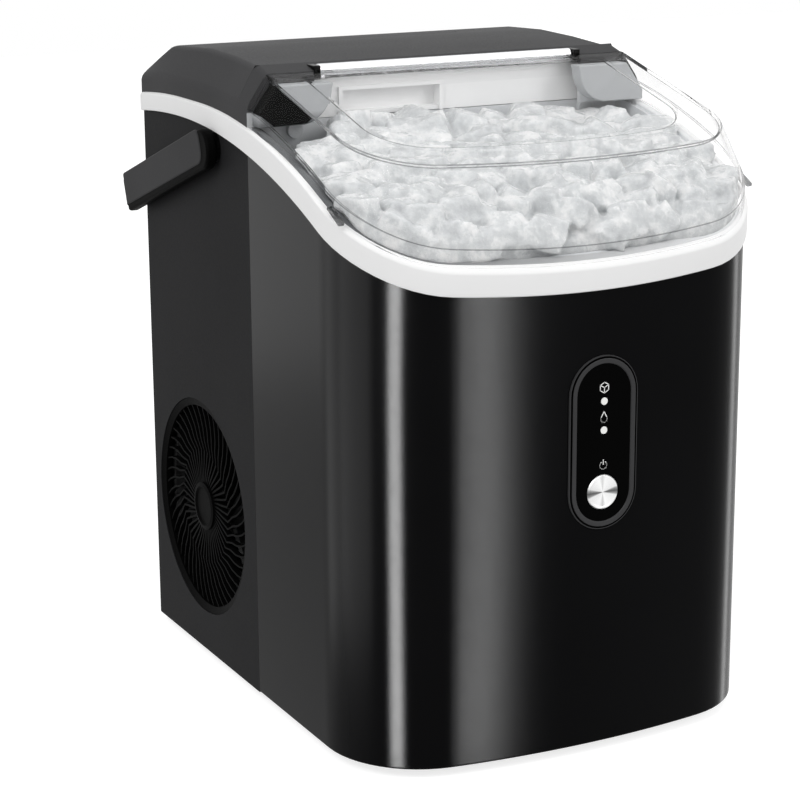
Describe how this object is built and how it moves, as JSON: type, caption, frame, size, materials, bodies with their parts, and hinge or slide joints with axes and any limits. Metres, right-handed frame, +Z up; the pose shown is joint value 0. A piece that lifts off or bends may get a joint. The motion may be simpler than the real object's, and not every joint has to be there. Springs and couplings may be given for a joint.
{
  "type": "countertop ice maker",
  "caption": "Countertop nugget ice maker: bowed body, clear hinged lid over an ice basket, carry handle, round side vent and oval control panel.",
  "frame": {"origin": "middle of the part's box in plan, on the plane that the feet stand on", "axes": "+X across the front to the right seen from the front, +Y from the front to the rear, +Z up"},
  "size_m": [0.2436, 0.294, 0.33],
  "materials": {
    "pan_metal": "satin",
    "foot_rubber": "matte",
    "screw_steel": "satin",
    "front_black": "gloss",
    "shell_black": "fine matte texture",
    "trim_white": "satin",
    "cover_grey": "fine matte texture",
    "lid_clear": "clear gloss",
    "hinge_silver": "satin",
    "liner_grey": "satin",
    "switch_black": "matte",
    "handle_grey": "satin",
    "pivot_black": "gloss",
    "vent_black": "satin",
    "fan_grey": "matte",
    "motor_metal": "satin",
    "fin_aluminium": "satin",
    "bezel_grey": "satin",
    "panel_black": "high gloss",
    "lamp_white": "satin",
    "button_steel": "radial brushed",
    "board_green": "satin",
    "back_white": "satin",
    "foam_cream": "open foam",
    "basket_grey": "satin",
    "cast_metal": "satin",
    "foam_black": "foam",
    "compressor_black": "gloss",
    "copper_tube": "satin",
    "tank_clear": "satin",
    "float_white": "satin",
    "pump_blue": "satin",
    "hose_clear": "satin",
    "inlet_black": "matte"
  },
  "bodies": {
    "housing": {"base_pan": "pan_metal", "foot_front_left": "foot_rubber", "foot_front_right": "foot_rubber", "foot_rear_left": "foot_rubber", "foot_rear_right": "foot_rubber", "foot_screws": "screw_steel", "front_panel": "front_black", "rear_shell": "shell_black", "trim_ring": "trim_white", "top_cover": "cover_grey", "cover_screws": "screw_steel", "cheek_left": "liner_grey", "cheek_right": "liner_grey", "lid_switch": "switch_black", "handle_pivot_left": "pivot_black", "handle_pivot_right": "pivot_black", "pivot_screws": "screw_steel", "vent_grille": "vent_black", "fan_motor": "motor_metal", "fan_shroud": "fan_grey", "condenser": "fin_aluminium", "control_bezel": "bezel_grey", "control_face": "panel_black", "lamp_ice_full": "lamp_white", "lamp_add_water": "lamp_white", "control_board": "board_green", "main_board": "board_green", "bin_liner": "liner_grey", "bin_back_panel": "back_white", "bin_insulation": "foam_cream", "ice_basket": "basket_grey", "ice_sensors": "switch_black", "ice_chute": "back_white", "extruder_head": "cast_metal", "freezing_barrel": "cast_metal", "barrel_insulation": "foam_black", "gear_motor": "motor_metal", "motor_bracket": "screw_steel", "compressor": "compressor_black", "compressor_grommets": "foot_rubber", "filter_drier": "copper_tube", "suction_line": "copper_tube", "discharge_line": "copper_tube", "liquid_line": "copper_tube", "water_tank": "tank_clear", "float_stem": "float_white", "water_pump": "pump_blue", "water_hose": "hose_clear", "drain_pipe": "hose_clear", "power_inlet": "inlet_black"},
    "lid_assembly": {"lid": "lid_clear", "hinge_bar": "hinge_silver"},
    "bail": {"handle": "handle_grey"},
    "button": {"start_button": "button_steel"},
    "fan": {"fan_blades": "fan_grey"},
    "auger_shaft": {"auger": "screw_steel"},
    "impeller": {"pump_impeller": "float_white"},
    "float": {"level_float": "float_white"},
    "plug": {"drain_plug": "foot_rubber"}
  },
  "joints": [
    {"name": "lid_hinge", "type": "hinge", "parent": "housing", "child": "lid_assembly", "pos_m": [0, -0.00281, 0.3245], "axis": [-1, 0, 0], "range_deg": [0, 115]},
    {"name": "handle_swing", "type": "hinge", "parent": "housing", "child": "bail", "pos_m": [0, 0.03369, 0.2845], "axis": [1, 0, 0], "range_deg": [0, 110]},
    {"name": "button_press", "type": "slide", "parent": "housing", "child": "button", "axis": [0, 1, 0], "range_m": [0, 0.0012], "stiffness_N_per_m": 400, "springref_m": -0.001},
    {"name": "fan_spin", "type": "hinge", "parent": "housing", "child": "fan", "pos_m": [0, 0.06569, 0.086], "axis": [1, 0, 0], "continuous": true},
    {"name": "auger_turn", "type": "hinge", "parent": "housing", "child": "auger_shaft", "pos_m": [-0.03, 0.04569, 0.25], "axis": [0, 0, 1], "continuous": true},
    {"name": "impeller_spin", "type": "hinge", "parent": "housing", "child": "impeller", "pos_m": [0.088, -0.06481, 0.016], "axis": [0, 0, 1], "continuous": true},
    {"name": "float_rise", "type": "slide", "parent": "housing", "child": "float", "axis": [0, 0, 1], "range_m": [0, 0.037]},
    {"name": "plug_pull", "type": "slide", "parent": "housing", "child": "plug", "axis": [0, 1, 0], "range_m": [0, 0.015]}
  ]
}
